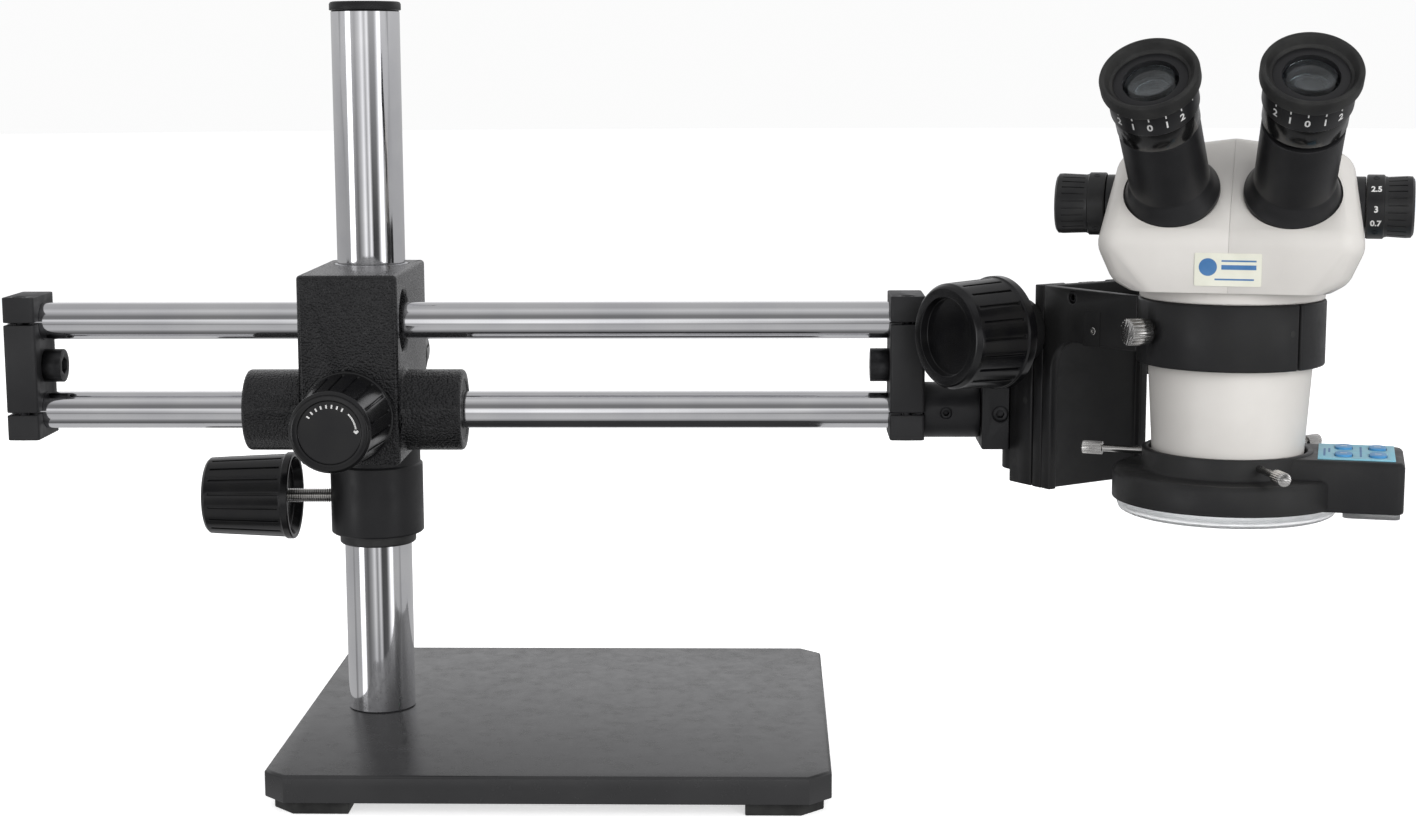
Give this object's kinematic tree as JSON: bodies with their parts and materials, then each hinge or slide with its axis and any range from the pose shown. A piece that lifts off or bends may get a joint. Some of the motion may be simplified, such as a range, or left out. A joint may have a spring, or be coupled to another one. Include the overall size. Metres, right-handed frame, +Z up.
{
  "type": "stereo microscope on a boom stand",
  "caption": "Zoom stereo microscope head with LED ring light in a rack-and-pinion focus mount, on a double-rod sliding boom stand with post, stop collar and weighted base.",
  "frame": {"origin": "centre of the whole object's box on the table, at rest; the post's axis stands at X -0.1777, Y 0.0699", "axes": "+Z up, +X along the boom towards the head, -Y towards the operator"},
  "size_m": [0.7242, 0.4078, 0.424],
  "materials": {
    "base_paint": "semi-gloss fine-grained charcoal enamel",
    "foot_rubber": "matt",
    "hard_chrome": "hard chrome plate, ground and polished",
    "bright_steel": "plated",
    "black_steel": "black oxide",
    "satin_black": "satin",
    "wrinkle_black": "wrinkle texture, semi-gloss",
    "block_black": "black anodised, satin",
    "mount_black": "satin enamel",
    "knob_black": "gloss",
    "bearing_steel": "ground",
    "nylon": "satin",
    "head_enamel": "warm white enamel, semi-gloss",
    "tube_black": "satin black with fine turning marks",
    "eyecup_rubber": "matt",
    "lens_glass": "coated",
    "dial_black": "satin",
    "light_black": "fine satin texture",
    "clear_plastic": "clear moulded",
    "board_green": "solder mask",
    "keypad_blue": "matt printed film",
    "button_blue": "satin"
  },
  "bodies": {
    "stand": {"base_plate": "base_paint", "feet": "foot_rubber", "post_tube": "hard_chrome", "post_bolt": "black_steel", "post_cap": "satin_black"},
    "collar": {"stop_collar": "satin_black", "collar_bush": "nylon"},
    "collar_knob": {"collar_knob": "knob_black", "collar_screw": "bright_steel"},
    "bracket": {"cross_bracket": "wrinkle_black", "bracket_bushes": "bearing_steel"},
    "tension_knob": {"tension_knob": "knob_black"},
    "lock_knob": {"lock_knob": "knob_black"},
    "boom": {"boom_rods": "hard_chrome", "left_end_block": "block_black", "right_end_block": "block_black", "boom_screws": "black_steel", "stub_sleeve": "satin_black", "pivot_pin": "bright_steel"},
    "knuckle": {"knuckle_block": "satin_black", "knuckle_screw": "black_steel", "swivel_pin": "bright_steel"},
    "focus_mount": {"focus_body": "mount_black", "shaft_bushes": "mount_black"},
    "focus_knobs": {"pinion_shaft": "bright_steel", "focus_knob_left": "knob_black", "focus_knob_right": "knob_black"},
    "slide": {"focus_slide": "mount_black", "rack": "bright_steel", "arm_casting": "mount_black", "ring_holder": "mount_black", "arm_screws": "black_steel"},
    "ring_thumbscrew": {"ring_thumbscrew": "bright_steel"},
    "head": {"pod_chassis": "head_enamel", "lower_cone": "head_enamel", "shell_left": "head_enamel", "shell_right": "head_enamel", "optics": "lens_glass", "eyetubes": "tube_black"},
    "eyepiece_left": {"eyepiece_left": "tube_black", "eyecup_left": "eyecup_rubber"},
    "eyepiece_right": {"eyepiece_right": "tube_black", "eyecup_right": "eyecup_rubber"},
    "zoom_knobs": {"zoom_shaft": "bright_steel", "zoom_knob_left": "dial_black", "zoom_knob_right": "dial_black"},
    "zoom_lenses": {"zoom_lenses": "lens_glass"},
    "ring_light": {"light_housing": "light_black", "light_lens": "clear_plastic", "led_board": "board_green", "keypad": "keypad_blue", "power_jack": "knob_black"},
    "button_1": {"button_1": "button_blue"},
    "button_2": {"button_2": "button_blue"},
    "button_3": {"button_3": "button_blue"},
    "button_4": {"button_4": "button_blue"},
    "light_screw_1": {"light_screw_1": "bright_steel"},
    "light_screw_2": {"light_screw_2": "bright_steel"},
    "light_screw_3": {"light_screw_3": "bright_steel"}
  },
  "joints": [
    {"name": "collar_height", "type": "slide", "parent": "stand", "child": "collar", "axis": [0, 0, 1], "range_m": [-0.095, 0.135]},
    {"name": "collar_clamp", "type": "hinge", "parent": "collar", "child": "collar_knob", "pos_m": [-0.2475, 0.0699, 0.1455], "axis": [1, 0, 0], "range_deg": [-180, 30]},
    {"name": "bracket_swivel", "type": "hinge", "parent": "collar", "child": "bracket", "pos_m": [-0.1755, 0.0699, 0.228], "axis": [0, 0, 1], "continuous": true},
    {"name": "tension_screw", "type": "hinge", "parent": "bracket", "child": "tension_knob", "pos_m": [-0.1755, -0.0421, 0.2036], "axis": [0, -1, 0], "range_deg": [-180, 30]},
    {"name": "lock_screw", "type": "hinge", "parent": "bracket", "child": "lock_knob", "pos_m": [-0.1755, 0.1249, 0.221], "axis": [0, 1, 0], "range_deg": [-180, 30]},
    {"name": "boom_reach", "type": "slide", "parent": "bracket", "child": "boom", "axis": [1, 0, 0], "range_m": [-0.215, 0.095]},
    {"name": "knuckle_tilt", "type": "hinge", "parent": "boom", "child": "knuckle", "pos_m": [0.1695, 0.0129, 0.2036], "axis": [1, 0, 0], "range_deg": [-6, 30]},
    {"name": "mount_swivel", "type": "hinge", "parent": "knuckle", "child": "focus_mount", "pos_m": [0.1862, 0.0129, 0.204], "axis": [0, 0, 1], "range_deg": [-2, 56]},
    {"name": "focus_travel", "type": "slide", "parent": "focus_mount", "child": "slide", "axis": [0, 0, 1], "range_m": [-0.02, 0.02]},
    {"name": "focus_turn", "type": "hinge", "parent": "focus_mount", "child": "focus_knobs", "pos_m": [0.21091, 0.00211, 0.25], "axis": [0.829, 0.5592, 0], "range_deg": [-150, 150]},
    {"name": "ring_screw_turn", "type": "hinge", "parent": "slide", "child": "ring_thumbscrew", "pos_m": [0.22395, -0.11342, 0.26], "axis": [-0.9272, -0.3746, 0], "range_deg": [-180, 30]},
    {"name": "head_turn", "type": "hinge", "parent": "slide", "child": "head", "pos_m": [0.27494, -0.09282, 0.26], "axis": [0, 0, 1], "range_deg": [-90, 45]},
    {"name": "eyepiece_left_turn", "type": "hinge", "parent": "head", "child": "eyepiece_left", "pos_m": [0.24027, -0.11612, 0.328], "axis": [-0.2633, -0.6598, 0.7039], "continuous": true},
    {"name": "eyepiece_right_turn", "type": "hinge", "parent": "head", "child": "eyepiece_right", "pos_m": [0.29461, -0.12967, 0.328], "axis": [-0.0773, -0.7061, 0.7039], "continuous": true},
    {"name": "zoom_turn", "type": "hinge", "parent": "head", "child": "zoom_knobs", "pos_m": [0.27494, -0.09282, 0.3197], "axis": [0.9703, -0.2419, 0], "range_deg": [-110, 130]},
    {"name": "zoom_lens_travel", "type": "slide", "parent": "head", "child": "zoom_lenses", "axis": [0, 0, 1], "range_m": [-0.008, 0.009]},
    {"name": "light_turn", "type": "hinge", "parent": "head", "child": "ring_light", "pos_m": [0.27494, -0.09282, 0.19], "axis": [0, 0, 1], "range_deg": [-60, 45]},
    {"name": "button_1_press", "type": "slide", "parent": "ring_light", "child": "button_1", "axis": [0, 0, -1], "range_m": [0, 0.0008], "stiffness_N_per_m": 1500},
    {"name": "button_2_press", "type": "slide", "parent": "ring_light", "child": "button_2", "axis": [0, 0, -1], "range_m": [0, 0.0008], "stiffness_N_per_m": 1500},
    {"name": "button_3_press", "type": "slide", "parent": "ring_light", "child": "button_3", "axis": [0, 0, -1], "range_m": [0, 0.0008], "stiffness_N_per_m": 1500},
    {"name": "button_4_press", "type": "slide", "parent": "ring_light", "child": "button_4", "axis": [0, 0, -1], "range_m": [0, 0.0008], "stiffness_N_per_m": 1500},
    {"name": "light_screw_1_turn", "type": "hinge", "parent": "ring_light", "child": "light_screw_1", "pos_m": [0.28536, -0.15191, 0.1965], "axis": [0.1736, -0.9848, 0], "range_deg": [-180, 30]},
    {"name": "light_screw_2_turn", "type": "hinge", "parent": "ring_light", "child": "light_screw_2", "pos_m": [0.3209, -0.05425, 0.1965], "axis": [0.766, 0.6428, 0], "range_deg": [-180, 30]},
    {"name": "light_screw_3_turn", "type": "hinge", "parent": "ring_light", "child": "light_screw_3", "pos_m": [0.21856, -0.07229, 0.1965], "axis": [-0.9397, 0.342, 0], "range_deg": [-180, 30]}
  ],
  "couplings": [
    {"joint": "focus_turn", "follows": "focus_travel", "rad_per_m": -125},
    {"joint": "zoom_lens_travel", "follows": "zoom_turn", "m_per_rad": 0.0035}
  ]
}
